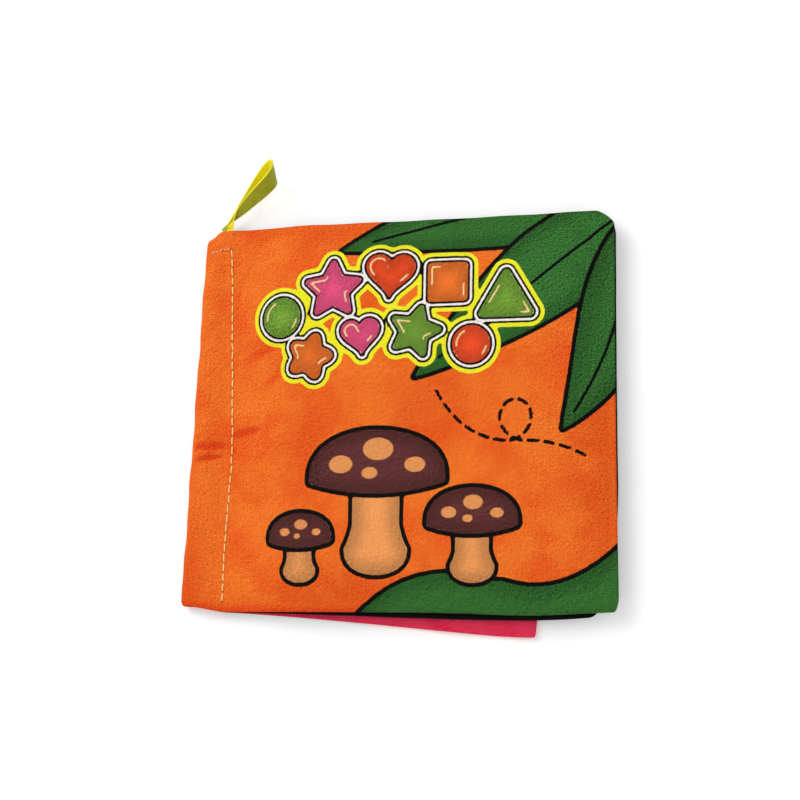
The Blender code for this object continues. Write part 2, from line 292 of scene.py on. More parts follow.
def cover_wrinkles(x, y):
    return relief_of(front_leaf, cover_relief, cover_start, x, y, cover_puckers)


def between_front_and_middle(x, y):
    return relief_of(front_leaf, front_inside_relief, 0, x, y, page_puckers)


def between_middle_and_back(x, y):
    return relief_of(back_leaf, back_inside_relief, 0, x, y, page_puckers)


# The line of stitches that binds the book, up the whole height at the spine. It was sewn by
# eye, so it wanders. Each stitch pulls the cloth down, with a small pit at either end.
stitch_pitch = 0.0027
stitch_top, top_fade = 0.0486, 0.002
trough_depth, trough_reach = 0.00022, 0.00050
pit_depth, pit_reach = 0.00016, 0.00034
scallop_depth, scallop_reach = 0.00006, 0.0014
held_share, held_reach = 0.8, 0.0014
line_heights = np.linspace(-0.060, 0.060, 241)
line_offsets = np.interp(line_heights, (-0.054, -0.0371, -0.0233, -0.0108, 0.0438, 0.0486, 0.054),
                         (0.0001, 0.0003, 0.0010, 0.0017, -0.0001, -0.0005, -0.0008))
line_offsets = np.convolve(np.pad(line_offsets, 8, mode="edge"), np.ones(17) / 17, "valid")


def stitch_line(y):
    """The line's x at a height, from points along it that a moving average has eased."""
    return np.interp(y, line_heights, line_offsets)


def needle_beat(y):
    """Is 1 where the needle went in and 0 halfway between: half of one plus a cosine."""
    return (1 + np.cos(2 * math.pi * (stitch_top - y) / stitch_pitch)) / 2


def stitch_sink(x, y):
    """How far the stitches pull the cloth down: a bell-shaped trough along the line, pits
    where the needle went in, and a scallop that fades on both sides."""
    away, beat = x - stitch_line(y), needle_beat(y)
    trough = trough_depth * bell(away / trough_reach)
    pits = pit_depth * bell(away / pit_reach) * beat**3
    scallop = scallop_depth * (2 * beat - 1) * np.exp(-np.abs(away) / scallop_reach)
    return (trough + pits + scallop) * smooth((stitch_top + top_fade - y) / top_fade)


def free_of_stitches(x, y):
    """Share of its relief that the cloth keeps, so close to the stitches that hold it."""
    return 1 - held_share * bell((x - stitch_line(y)) / held_reach)


# Folds of the cover cloth, from handling and packing: sharp ones, along which the colour
# is painted deeper as shade, and soft ones. Each is its start and its end in millimetres,
# its width in millimetres and its height in metres, below 0 for a hollow.
def fold(x, y, start, end, width, height):
    """A soft crease from start to end: a bell across, a half sine along."""
    start, end = np.array(start) / 1000, np.array(end) / 1000
    along = end - start
    length = np.hypot(*along)
    share = ((x - start[0]) * along[0] + (y - start[1]) * along[1]) / length**2
    across = ((x - start[0]) * along[1] - (y - start[1]) * along[0]) / length
    return height * np.sin(math.pi * np.clip(share, 0, 1)) * bell(across / (width / 1000))


sharp_folds = (
    ((-11.0, -9.4), (1.6, -7.7), 1.50, -0.00050), ((-11.2, -13.4), (0.4, -10.4), 0.95, -0.00046),
    ((-10.8, -11.4), (1.6, -9.4), 0.45, 0.00032), ((-1.6, -5.8), (12.2, -3.4), 1.45, -0.00044),
    ((0.0, -9.0), (3.6, -9.8), 0.8, -0.00040), ((-1, 12.6), (25, 25.0), 2.6, -0.00027),
    ((9, 5.5), (20, 15.5), 1.7, -0.00024), ((90, 44), (108, 30), 2.6, -0.00026),
)
soft_folds = (
    ((2, -28), (22, -20), 2.4, -0.00035), ((6, -40), (34, -26), 3.2, -0.00040),
    ((22, -50), (50, -30), 3.4, -0.00038),
    ((3, -20), (15, -17), 1.4, 0.00026), ((94, 22), (107, 24), 1.6, -0.00034),
    ((92, 8), (107, 7), 1.8, -0.00036), ((90, -8), (107, -12), 1.9, -0.00032),
    ((30, -46), (46, -53), 1.8, -0.00030), ((-8.5, 20), (-0.5, 23), 1.3, -0.00020),
    ((-9.8, -36), (-0.5, -38), 1.4, -0.00022),
)


def cover_creases(x, y):
    return sum(fold(x, y, *crease) for crease in sharp_folds + soft_folds)


# Twill: the cloth's weave, fine diagonal ribs of polyester yarn, and the uneven dye that
# the print leaves on it. Both are node groups that every cloth places with its own values.
twill_pitch, weave_depth, cloth_roughness = 0.00060, 0.00012, 0.82
rib_lean, rib_wander, yarn_lean, yarn_share = 0.82, 1.6, 0.35, 0.45
wander_scale, grain_scale, patch_scale, bleed_scale = 300, 2600, 55, 1500
dark_power, pale_power, patch_share, ink_softness = 1.5, 0.78, 0.75, 0.07
# The last two values say how strongly, and towards what deep red, the hollow value darkens the woven
# colour: painted shade.
painted_shade_strength, painted_shade_tone = 0.35, (0.76, 0.52, 0.50, 1)


def linear(red, green, blue):
    """A colour written in screen values from 0 to 255, as the shader's linear light."""
    c = np.array((red, green, blue)) / 255
    c = np.where(c > 0.04045, ((c + 0.055) / 1.055) ** 2.4, c / 12.92)
    return (*c.tolist(), 1)


def add(tree, kind, settings, inputs):
    """A node: its settings by name, and each input by name or number from a value or from
    another node's output."""
    made = tree.nodes.new("ShaderNode" + kind)
    for key, value in settings.items():
        setattr(made, key, value)
    for key, value in inputs.items():
        if isinstance(value, bpy.types.NodeSocket):
            tree.links.new(value, made.inputs[key])
        else:
            made.inputs[key].default_value = value
    return made


def math_node(tree, operation, *values):
    return add(tree, "Math", {"operation": operation}, dict(enumerate(values))).outputs[0]


def mix_colours(tree, share, low, high, blend="MIX"):
    made = add(tree, "Mix", {"data_type": "RGBA", "blend_type": blend},
               {0: share, 6: low, 7: high})
    return made.outputs[2]


def noise(tree, spot, scale, detail, roughness=0.5):
    """Soft random values from 0 to 1, closer together at a larger scale."""
    return add(tree, "TexNoise", {}, {"Vector": spot, "Scale": scale, "Detail": detail,
                                      "Roughness": roughness}).outputs["Fac"]


def ramp(tree, value, start, end, low=0, high=1, kind="LINEAR"):
    """Goes from low to high while the value goes from start to end."""
    return add(tree, "MapRange", {"interpolation_type": kind},
               {"Value": value, "From Min": start, "From Max": end, "To Min": low,
                "To Max": high}).outputs[0]


def painted(tree, name, output="Fac"):
    """What the mesh carries at each of its points under this name."""
    return add(tree, "Attribute", {"attribute_name": name}, {}).outputs[output]


def new_material(name):
    """An empty material and its node tree."""
    material = bpy.data.materials.new(name)
    material.use_nodes = True
    return material, material.node_tree


def finish_surface(tree, colour, roughness, height, strength, depth, numbers):
    """Joins what varies over a surface to its shader: the colour, the roughness and,
    through a bump, the height. A number that is the same all over is set on its socket."""
    sockets = tree.nodes["Principled BSDF"].inputs
    bump = add(tree, "Bump", {}, {"Strength": strength, "Distance": depth, "Height": height})
    tree.links.new(colour, sockets["Base Color"])
    tree.links.new(roughness, sockets["Roughness"])
    tree.links.new(bump.outputs[0], sockets["Normal"])
    for name, value in numbers.items():
        sockets[name].default_value = value


def new_group(name, inputs, outputs):
    """An empty node group, and its input and output nodes."""
    tree = bpy.data.node_groups.new(name, "ShaderNodeTree")
    for title, kind in inputs:
        tree.interface.new_socket(title, in_out="INPUT", socket_type="NodeSocket" + kind)
    for title, kind in outputs:
        tree.interface.new_socket(title, in_out="OUTPUT", socket_type="NodeSocket" + kind)
    return tree, tree.nodes.new("NodeGroupInput").outputs, tree.nodes.new("NodeGroupOutput").inputs


twill, given, made = new_group("twill", [("Place", "Vector"), ("Pitch", "Float")],
                               [("Height", "Float"), ("Shade", "Float")])
parts = add(twill, "SeparateXYZ", {}, {0: given["Place"]}).outputs
turn = math_node(twill, "DIVIDE", 2 * math.pi, given["Pitch"])
wander = noise(twill, given["Place"], wander_scale, 1)
wander = math_node(twill, "MULTIPLY", wander, rib_wander)
across_ribs = math_node(twill, "MULTIPLY", parts[1], rib_lean)
across_ribs = math_node(twill, "ADD", parts[0], across_ribs)
ribs = math_node(twill, "ADD", math_node(twill, "MULTIPLY", across_ribs, turn), wander)
ribs = math_node(twill, "SINE", ribs)
yarns = math_node(twill, "MULTIPLY", parts[1], yarn_lean)
yarns = math_node(twill, "SUBTRACT", parts[0], yarns)
yarns = math_node(twill, "SINE", math_node(twill, "MULTIPLY", yarns, turn))
knots = math_node(twill, "MULTIPLY_ADD", yarns, yarn_share, 1 - yarn_share)
knots = math_node(twill, "MULTIPLY", ribs, knots)
along_ribs = math_node(twill, "SUBTRACT", math_node(twill, "MULTIPLY", parts[0], 0.38),
                       math_node(twill, "MULTIPLY", parts[1], 0.46))
streaks = add(twill, "CombineXYZ", {}, {0: across_ribs, 1: along_ribs}).outputs[0]
grain = math_node(twill, "MULTIPLY_ADD", noise(twill, streaks, grain_scale, 2), 3.4, -1.7)
twill.links.new(math_node(twill, "MULTIPLY_ADD", knots, 0.5, 0.5), made["Height"])
shade = math_node(twill, "MULTIPLY_ADD", knots, 0.7, math_node(twill, "ADD", grain, 0.5))
twill.links.new(add(twill, "Clamp", {}, {"Value": shade}).outputs[0], made["Shade"])

ink, given, made = new_group(
    "ink", [("Under", "Color"), ("Distance", "Float"), ("Edge", "Float"), ("Ink", "Color"),
            ("Bleed", "Float")], [("Colour", "Color")])
reach = math_node(ink, "SUBTRACT", given["Distance"], given["Edge"])
reach = math_node(ink, "ADD", reach, given["Bleed"])
inked = ramp(ink, reach, -ink_softness, ink_softness, 1, 0)
ink.links.new(mix_colours(ink, inked, given["Under"], given["Ink"]), made["Colour"])


def cloth_material(name, ground, deep, inks):
    """Printed twill. The ground turns to its deeper colour in random patches, and as painted
    shade in hollows and at seams. Each ink is (distance attribute, or function that builds its
    nodes; edge; colour or tint attribute). Dark yarns take the colour to a power, pale ones to a
    root."""
    material, tree = new_material(name)
    spot = add(tree, "UVMap", {"uv_map": "cut"}, {}).outputs[0]
    weave = add(tree, "Group", {"node_tree": twill}, {"Place": spot, "Pitch": twill_pitch}).outputs
    patches = noise(tree, spot, patch_scale, 3, 0.6)
    patches = ramp(tree, patches, 0.38, 0.66, kind="SMOOTHSTEP")
    # The hollow value is painted shade from the mesh: it deepens the ground here and darkens the
    # woven colour below.
    hollow = painted(tree, "hollow")
    patches = math_node(tree, "MULTIPLY", patches, patch_share)
    depth = math_node(tree, "MAXIMUM", hollow, patches)
    colour = mix_colours(tree, depth, ground, deep)
    bleed = math_node(tree, "MULTIPLY_ADD", noise(tree, spot, bleed_scale, 1), 0.30, -0.15)
    for distance, edge, tint in inks:
        distance = distance(tree) if callable(distance) else painted(tree, distance)
        tint = painted(tree, tint, "Color") if isinstance(tint, str) else tint
        colour = add(tree, "Group", {"node_tree": ink},
                     {"Under": colour, "Distance": distance, "Edge": edge, "Ink": tint,
                      "Bleed": bleed}).outputs[0]
    dark = add(tree, "Gamma", {}, {"Color": colour, "Gamma": dark_power}).outputs[0]
    dark = mix_colours(tree, 1.0, dark, (0.80, 0.80, 0.80, 1), "MULTIPLY")
    pale = add(tree, "Gamma", {}, {"Color": colour, "Gamma": pale_power}).outputs[0]
    woven = mix_colours(tree, weave["Shade"], dark, pale)
    # Painted shade: where the hollow value is high, the woven colour is darkened towards a deep red.
    painted_shade_colour = mix_colours(tree, 1.0, woven, painted_shade_tone, "MULTIPLY")
    woven = mix_colours(tree, math_node(tree, "MULTIPLY", hollow, painted_shade_strength), woven, painted_shade_colour)
    rough = math_node(tree, "MULTIPLY_ADD", weave["Shade"], -0.10, cloth_roughness)
    finish_surface(tree, woven, rough, weave["Height"], 0.5, weave_depth,
                   {"Specular IOR Level": 0.03, "Sheen Weight": 0.01, "Sheen Roughness": 0.5})
    return material


# The printed pictures: flat shapes with a thick black line round them. A shape is its
# outline in millimetres, how far that is rounded outwards, and its colour. The cloth carries
# the distance to the nearest shape, and the inks stop at set distances, so the lines stay crisp.
line_width = 1.15


def round_outline(x, y, radius, wave=0.0, petals=5, stretch=(1, 1)):
    """A circle whose radius swells by this wave at each petal."""
    angle = np.linspace(0, 2 * math.pi, 48, endpoint=False)
    r = radius * (1 + wave * np.cos(petals * angle))
    return np.stack([x + r * np.cos(angle) * stretch[0], y + r * np.sin(angle) * stretch[1]], -1)


def disc(x, y, radius, colour, *wave):
    return round_outline(x, y, radius, *wave), 0, colour


def star(x, y, radius, colour, turn=math.pi / 2, rounding=0.8, points=5, inner=0.5):
    """A shape whose corners lie by turns on an outer and an inner circle."""
    angle = turn + np.arange(2 * points) * math.pi / points
    r = radius * np.where(np.arange(2 * points) % 2, inner, 1)
    return np.stack([x + r * np.cos(angle), y + r * np.sin(angle)], -1), rounding, colour


def heart(x, y, radius, colour, turn=0.0):
    """The heart curve: the cube of a sine across, four cosines up."""
    a = np.linspace(0, 2 * math.pi, 44, endpoint=False)
    across = 16 * np.sin(a) ** 3 * radius / 16
    up = 13 * np.cos(a) - 5 * np.cos(2 * a) - 2 * np.cos(3 * a) - np.cos(4 * a)
    up = (up + 2) * radius / 16
    return np.stack([x + across * math.cos(turn) - up * math.sin(turn),
                     y + across * math.sin(turn) + up * math.cos(turn)], -1), 0.3, colour


def curve_through(start, bend, end, count=24):
    """Points along a parabola that leaves start towards bend and arrives at end."""
    u = np.linspace(0, 1, count)[:, None]
    return (np.array(start) * (1 - u) ** 2 + 2 * np.array(bend) * u * (1 - u)
            + np.array(end) * u**2)


def leaf_outline(base, bend, tip, width):
    """Both sides of a parabola, set off by a sine that is fullest nearer the base."""
    axis = curve_through(base, bend, tip)
    u = np.linspace(0, 1, len(axis))
    step = np.gradient(axis, axis=0)
    side = np.stack([-step[:, 1], step[:, 0]], axis=-1) / np.hypot(*step.T)[:, None]
    half = (width / 2 * np.sin(math.pi * u**0.75) ** 0.85)[:, None]
    return np.concatenate([axis + side * half, (axis - side * half)[-2:0:-1]])


def distance_to_line(x, y, points):
    """Distance in millimetres from an open line: the least distance to any part of it."""
    px, py = x * 1000, y * 1000
    nearest = np.full(x.shape, 1e9)
    for (ax, ay), (bx, by) in zip(points[:-1], points[1:]):
        ex, ey, wx, wy = bx - ax, by - ay, px - ax, py - ay
        share = np.clip((wx * ex + wy * ey) / (ex * ex + ey * ey + 1e-12), 0, 1)
        nearest = np.minimum(nearest, (wx - ex * share) ** 2 + (wy - ey * share) ** 2)
    return np.sqrt(nearest)


def distance_inside(x, y, outline):
    """Distance in millimetres from a closed outline, below 0 inside it: the sign turns with
    each side that a level line to the right crosses."""
    px, py = x * 1000, y * 1000
    closed = np.concatenate([outline, outline[:1]])
    sign = np.ones(x.shape)
    for (ax, ay), (bx, by) in zip(closed[:-1], closed[1:]):
        beside = ((bx - ax) * (py - ay) > (by - ay) * (px - ax)) == (by > ay)
        sign = np.where(((py >= ay) != (py >= by)) & beside, -sign, sign)
    return sign * distance_to_line(x, y, closed)


def picture(x, y, shapes, line):
    """Distance and tint of shapes (outline, rounding, colour) painted one over another:
    each new shape cuts the ones below back by the width of its black line. A shape is
    darker beside its line and lighter 6 mm inside it."""
    distance = np.full(x.shape, 1e3)
    tint = np.ones((*x.shape, 4))
    for outline, rounding, colour in shapes:
        own = distance_inside(x, y, outline) - rounding
        distance = np.minimum(np.maximum(distance, line - own), own)
        shaded = np.array(colour[:3]) * (0.74 + 0.44 * smooth(-own / 6))[..., None]
        tint[..., :3] = np.where((own < line / 2)[..., None], np.minimum(shaded, 1), tint[..., :3])
    return distance, tint


def paint_picture(piece, x, y, name, shapes, line=line_width):
    distance, tint = picture(x, y, shapes, line)
    paint(piece, name + "s", distance)
    paint(piece, name + "_tint", tint)


def strokes(x, y, lines, half_width):
    """Distance from the edge of strokes along open lines."""
    nearest = np.full(x.shape, 1e3)
    for points in lines:
        nearest = np.minimum(nearest, distance_to_line(x, y, points))
    return nearest - half_width


def dashes(points, dash, gap):
    """An open line cut into dashes: the pieces of it between even distances along it."""
    run = np.concatenate([[0], np.cumsum(np.hypot(*np.diff(points, axis=0).T))])
    starts = np.arange(0, run[-1] - dash, dash + gap)
    pieces = []
    for begin in starts:
        places = np.linspace(begin, begin + dash, 4)
        pieces.append(np.stack([np.interp(places, run, points[:, k]) for k in (0, 1)], axis=-1))
    return pieces


orange, deep_orange = linear(251, 123, 35), linear(243, 84, 22)
black, white, yellow = linear(8, 9, 8), linear(255, 248, 242), linear(250, 246, 40)
leaf_green, lime = linear(48, 108, 42), linear(118, 164, 52)
pink, red, rust = linear(238, 84, 134), linear(242, 78, 34), linear(240, 118, 40)
brown, tan, cream = linear(92, 44, 42), linear(238, 158, 88), linear(250, 214, 150)


# Mesh making: a ply is a closed sheet between two grids of points, and its cut lies flat in
# a map in metres, which the weave follows.
seam_roll, flat_seam_fall, seam_half_left, flat_by_spine = 0.0007, 0.00022, 0.00024, 0.004
spacing_growth, spacing_samples = 0.28, 3000
# deep_hollow is the relief depth at which a hollow's painted shade is full.
deep_hollow = 0.0006
foot_slant, foot_slant_run = 0.0015, 0.0090


def shell(name, outer, inner, cut):
    """A closed sheet: the outer grid's faces, the inner grid's turned round, and one row of
    faces along each side. The cut is each grid point's place on the flat cloth."""
    rows, columns = outer.shape[:2]
    near, far = np.arange(2 * rows * columns).reshape(2, rows, columns)
    rim = np.concatenate([near[0, :-1], near[:-1, -1], near[-1, :0:-1], near[:0:-1, 0]])
    after = np.roll(rim, -1)
    faces = np.concatenate([
        cells(near).reshape(-1, 4), cells(far)[..., [0, 3, 2, 1]].reshape(-1, 4),
        np.stack([rim + near.size, after + near.size, after, rim], -1)])
    piece = mesh_piece(name, np.stack([outer, inner]), faces.tolist())
    piece.data.shade_smooth()
    piece.data.set_sharp_from_angle(angle=math.radians(55))
    places = np.tile(cut.reshape(-1, 2), (2, 1))[faces.ravel()]
    piece.data.uv_layers.new(name="cut").data.foreach_set("uv", places.ravel())
    return piece


def paint(piece, name, values, inner=None):
    """Gives each point of a shell a number, or a colour, from a grid of them. The inner grid
    takes the same values unless it has its own."""
    colour = values.ndim == 3
    kind = "FLOAT_COLOR" if colour else "FLOAT"
    layer = piece.data.attributes.new(name, kind, "POINT")
    both = np.concatenate([values.ravel(), (values if inner is None else inner).ravel()])
    layer.data.foreach_set("color" if colour else "value", both)


def place(x, y, z):
    """Points in the book's frame, from an x that starts at the stitch line. In the spine the
    foot is cut at a slant: y rises with the distance from the stitch line and the head."""
    rise = foot_slant * np.clip(-x / foot_slant_run, 0, 1) * (head_y - y) / book_height
    return np.stack([x + stitch_x, y + rise, z + 0 * x], axis=-1)


def stations(end, fine, coarse, fine_until=0.0):
    """Places from 0 to the end, closest together up to fine_until and at the end: equal
    steps of the running sum of one over a spacing that grows from fine to coarse."""
    s = np.linspace(0, end, spacing_samples)
    away = np.minimum(np.maximum(s - fine_until, 0), end - s)
    spacing = np.minimum(fine + spacing_growth * away, coarse)
    steps = np.concatenate([[0], np.cumsum(np.diff(s) / spacing[1:])])
    return np.interp(np.linspace(0, steps[-1], int(round(steps[-1])) + 1), steps, s)


def rolled(distance):
    """Rises from 0 to 1 towards the middle of a seam: a quarter of an ellipse."""
    u = 1 - np.clip(distance / seam_roll, 0, 1)
    return 1 - np.sqrt(np.maximum(1 - u * u, 0))


def seam_round(leaf, x, y):
    """How far a ply's face falls towards the middle of the seam at a sewn edge. Beside the
    spine the plies stay flat on each other."""
    more = (seam_thickness / 2 - seam_half_left) * smooth(x / flat_by_spine)
    return (flat_seam_fall + more) * rolled(leaf.to_seam(x, y))


def inner_face(shown, middle):
    """The height a ply's thickness further in, but never past the middle of the leaf."""
    thin = np.minimum(middle + thinnest_ply, shown - thinnest_ply)
    return np.maximum(shown - ply, thin)


# Front cover: one piece of orange printed twill. It covers the front leaf, runs past the
# stitches as a flat strip, and folds round the spine to the back, where it is sewn again.
spine_width_head, spine_width_foot = 0.0083, 0.0121
head_slant_down = (0, 0.0005, 0.0019, 0.0024, 0.0034)
head_slant_in = (0.0040, 0.0033, 0.0019, 0.0006, 0)
cover_columns = stations(leaf_width, 0.00026, 0.00076, 0.0026)
cover_t = stations(book_height, 0.00014, 0.00056) / book_height
under_steps, fold_steps, top_steps = 12, 14, 20
spine_edge_waves = ((0.00012, 0.0041), (0.00008, 0.0017))
strip_gather, strip_arch, strip_rise_share, strip_edge_reach = 1.2, 0.025, 0.25, 0.004
back_sink_depth, back_sink_reach = 0.0003, 0.0005


def spine_width(y):
    """The strip between the fold and the stitch line, wider at the foot, where its corner is
    round. Its head corner is cut off at a slant."""
    t = (y - foot_y) / book_height
    width = spine_width_foot + (spine_width_head - spine_width_foot) * t
    slant = np.interp(head_y - y, head_slant_down, head_slant_in)
    return width - corner_cut(y - foot_y, 0.0008, 0.0016) - slant


def back_line_sink(x, y):
    """How far the stitches draw the back of the book in: a bell across the line."""
    return back_sink_depth * bell((x - stitch_line(y)) / back_sink_reach)


def cover_grids():
    """Outer and inner face of the cover cloth, its flat cut, and the depth of its hollows.
    Across the columns: along the underside, half a circle round the fold, the top of the
    strip, then the leaf."""
    t = cover_t[:, None]
    y = foot_y + book_height * t
    half = spine_height / 2
    run = spine_width(y) - half
    for height, length in spine_edge_waves:
        run = run + height * np.sin(y / length)
    q = np.concatenate([np.linspace(part, part + 1, steps, endpoint=False) for part, steps
                        in enumerate((under_steps, fold_steps, top_steps))])[None, :]
    turn = math.pi * np.clip(q - 1, 0, 1)
    x = -run * np.where(q < 1, q, np.where(q > 2, 3 - q, 1)) - half * np.sin(turn)
    z = half - half * np.cos(turn)
    normal = np.stack([-np.sin(turn) + 0 * x, 0 * x, -np.cos(turn) + 0 * x], axis=-1)
    on_top = smooth((q - 2) / strip_rise_share)
    on_top = on_top * smooth((x + spine_width(y)) / strip_edge_reach)
    relief = relief_of(front_leaf, cover_relief, cover_start, x, y + 0 * x, strip_puckers)
    relief = relief * strip_gather
    relief = (relief + cover_creases(x, y)) * on_top * free_of_stitches(x, y)
    relief = relief - stitch_sink(x, y) * (q > 1.5)
    relief = relief + strip_arch * run * np.sin(math.pi * np.clip(q - 2, 0, 1)) * (q > 2)
    relief = relief - back_line_sink(x, y) * (q < 1)
    relief = relief - flat_seam_fall * rolled(np.minimum(y - foot_y, head_y - y))
    wrap = place(x, y, z) + normal * relief[..., None]
    steps = np.hypot(np.diff(x, axis=1, append=0), np.diff(z, axis=1, append=spine_height))
    wrap_cut = np.cumsum(steps[:, ::-1], axis=1)[:, ::-1]

    lx = cover_columns[None, :] / leaf_width * front_leaf.free_edge(t)
    ly = front_leaf.up(lx, t)
    under, flat_top = front_leaf.faces(lx, ly)
    folds = cover_creases(lx, ly) * np.minimum(front_leaf.to_seam(lx, ly) / 0.004, 1)
    top = flat_top + (cover_wrinkles(lx, ly) + folds) * free_of_stitches(lx, ly)
    seam = seam_round(front_leaf, lx, ly)
    outer = top - stitch_sink(lx, ly) - seam
    inside = inner_face(outer, (under + flat_top) / 2)
    cut = np.stack([np.concatenate([-wrap_cut, lx], axis=1),
                    np.concatenate([y + 0 * x, ly], axis=1)], axis=-1)
    hollow = np.concatenate([-relief * (q > 2), flat_top - outer - seam], axis=1)
    return (np.concatenate([wrap, place(lx, ly, outer)], axis=1),
            np.concatenate([wrap - normal * ply, place(lx, ly, inside)], axis=1), cut, hollow)


outer, inner, cut, hollow = cover_grids()
front_cover = shell("front_cover", outer, inner, cut)
fx, fy = cut[..., 0], cut[..., 1]

# The cover's print: large leaves with veins, a hill, three mushrooms, a dashed trail with one
# loop, and a cluster of badges with pale rims.
loop_turn = np.linspace(0, 2 * math.pi, 40)
loop = np.stack([79 + 0.8 * loop_turn + 5.4 * np.sin(loop_turn),
                 -3.4 - 5.6 * np.cos(loop_turn)], -1)
trail = np.concatenate([curve_through((60, 5), (67, -8), (79, -9), 20), loop[1:],
                        curve_through((84, -9), (94, -9), (103, -15), 20)[1:]])
big_leaves = [((112, 58), (84, 60), (33, 45), 23), ((113, 56), (92, 38), (54, 9), 24),
              ((112, 52), (112, 20), (94, -6), 19)]
hill = np.concatenate([curve_through((34, -60), (52, -38), (76, -46), 12),
                       curve_through((78, -46), (96, -52), (112, -33), 12), [(114, -60)]])
cover_shapes = [(leaf_outline(*leaf), 0, leaf_green) for leaf in big_leaves]
cover_shapes.append((hill, 0, leaf_green))
half_turn = np.linspace(0, math.pi, 14)
stem_side = np.concatenate([[(-0.72, 1)],
                            curve_through((-0.7, 0), (-0.8, -0.3), (-1, -0.5), 6)[:-1]])
stem_foot = np.stack([-np.cos(half_turn), -0.5 - 0.42 * np.sin(half_turn) ** 0.8], -1)
stem = np.concatenate([stem_side, stem_foot, stem_side[::-1] * (-1, 1)])
dome_turn, brim = np.linspace(0, math.pi, 26), np.linspace(-1, 1, 14)[1:-1]
cap = np.concatenate([np.stack([np.cos(dome_turn), np.sin(dome_turn) ** 0.8], -1),
                      np.stack([brim, -0.22 * (1 - brim**2)], -1)])
cover_spots = []
for stem_middle, stem_size, cap_size in (((44, -31), (8.5, 15), (19, 13.5)),
                                         ((70, -38), (5.5, 9), (12, 9)),
                                         ((23, -40), (4, 6.5), (8.5, 6.5))):
    cap_middle = np.array(stem_middle) + (0, stem_size[1] * 0.8)
    cover_shapes.append((stem * 0.9 * stem_size + stem_middle, 1.0, tan))
    cover_shapes.append((cap * 0.94 * cap_size + cap_middle, 1.0, brown))
    for u, v, r in ((-0.52, 0.32, 0.15), (0.02, 0.62, 0.19), (0.55, 0.30, 0.13), (-0.1, 0.14, 0.1)):
        cover_spots.append(round_outline(*(cap_middle + np.array((u, v)) * cap_size),
                                         r * cap_size[0], stretch=(1.15, 0.85)))
paint_picture(front_cover, fx, fy, "shape", cover_shapes)
on_leaves = np.min([distance_inside(fx, fy, leaf_outline(*leaf)) for leaf in big_leaves], axis=0)
veins = [curve_through(base, bend, tip)[:-2] for base, bend, tip, width in big_leaves]
marks = np.maximum(strokes(fx, fy, veins, 0.42), on_leaves + 0.2)
marks = np.minimum(marks, strokes(fx, fy, dashes(trail, 2.6, 1.7), 0.5))
paint(front_cover, "marks", marks)
paint(front_cover, "spots", np.min([distance_inside(fx, fy, spot) for spot in cover_spots], axis=0))
badges = [disc(16, 27, 5.6, lime), star(31, 34, 7.6, pink), heart(47, 37.5, 6.6, red, -0.05),
          star(63, 35, 6.4, rust, math.pi / 4, 1.0, 2, 1.0),
          star(79, 29.5, 7.4, lime, rounding=1.1, points=3), disc(24.5, 15.5, 5.6, rust, 0.2),
          heart(39, 20.5, 5.2, pink, 0.1), star(54, 21.5, 6.6, lime, 1.3), disc(69.5, 17.5, 5.2, red)]
paint_picture(front_cover, fx, fy, "badge", badges, 0.8)
centres = np.array([outline.mean(axis=0) for outline, rounding, colour in badges])
millimetres = np.stack([fx, fy], -1) * 1000
nearest = np.argmin([np.hypot(*(millimetres - centre).T).T for centre in centres], axis=0)
from_centre = millimetres - centres[nearest]
paint(front_cover, "from_badge", np.concatenate([from_centre, 0 * from_centre], axis=-1))


def glint_distance(tree):
    """Strokes of light that run 1 mm inside a badge's outline, where its point's direction
    from the badge's centre is close to up and left, or to down and right."""
    inside = math_node(tree, "ABSOLUTE", math_node(tree, "ADD", painted(tree, "badges"), 1.15))
    spot = painted(tree, "from_badge", "Color")
    spot = add(tree, "VectorMath", {"operation": "NORMALIZE"}, {0: spot}).outputs[0]
    facing = []
    for direction, closeness in (((-0.88, 0.48, 0), 0.80), ((0.90, -0.44, 0), 0.955)):
        cosine = add(tree, "VectorMath", {"operation": "DOT_PRODUCT"}, {0: spot, 1: direction})
        facing.append(math_node(tree, "SUBTRACT", closeness, cosine.outputs["Value"]))
    off = math_node(tree, "MULTIPLY", math_node(tree, "MINIMUM", *facing), 6)
    return math_node(tree, "MAXIMUM", math_node(tree, "SUBTRACT", inside, 0.24), off)


# Painted shade: its colour is deeper in hollows and folds, along the sewn edges and low on the
# strip, where shade falls: for each, how strong the painted shade is and how far it reaches. A
# sharp fold half a millimetre deep takes the full painted shade.
hollow_shade, edge_shade, edge_reach = 0.7, 0.8, 0.0013
foot_shade, foot_reach, foot_power = 1.25, 0.0022, 1.4
crease_shade, crease_shade_depth, strip_shade = 1.7, 0.00050, 0.8
needle_reach, hole_edge, hole_depth = 0.00026, 0.45, 1.1
to_edge = np.where(fx < 0, 0.004, front_leaf.to_seam(fx, fy))
hollow = np.clip(hollow / deep_hollow, 0, 1) * hollow_shade
hollow = hollow * np.minimum(np.abs(fx) / 0.006 + 0.15, 1)
hollow = np.maximum(hollow, edge_shade * np.exp(-to_edge / edge_reach))
above_foot = np.maximum(fy - front_leaf.foot(fx), 0)
hollow = np.maximum(hollow, foot_shade * np.exp(-(above_foot / foot_reach) ** foot_power))
creased = sum(fold(fx, fy, *crease) for crease in sharp_folds)
hollow = np.maximum(hollow, crease_shade * smooth(-creased / crease_shade_depth))
low_on_strip = strip_shade * smooth((-0.010 - fy) / 0.045) * smooth((-0.002 - fx) / 0.007)
hollow = np.maximum(hollow, low_on_strip)
# The hollow value is painted shade.
paint(front_cover, "hollow", hollow)
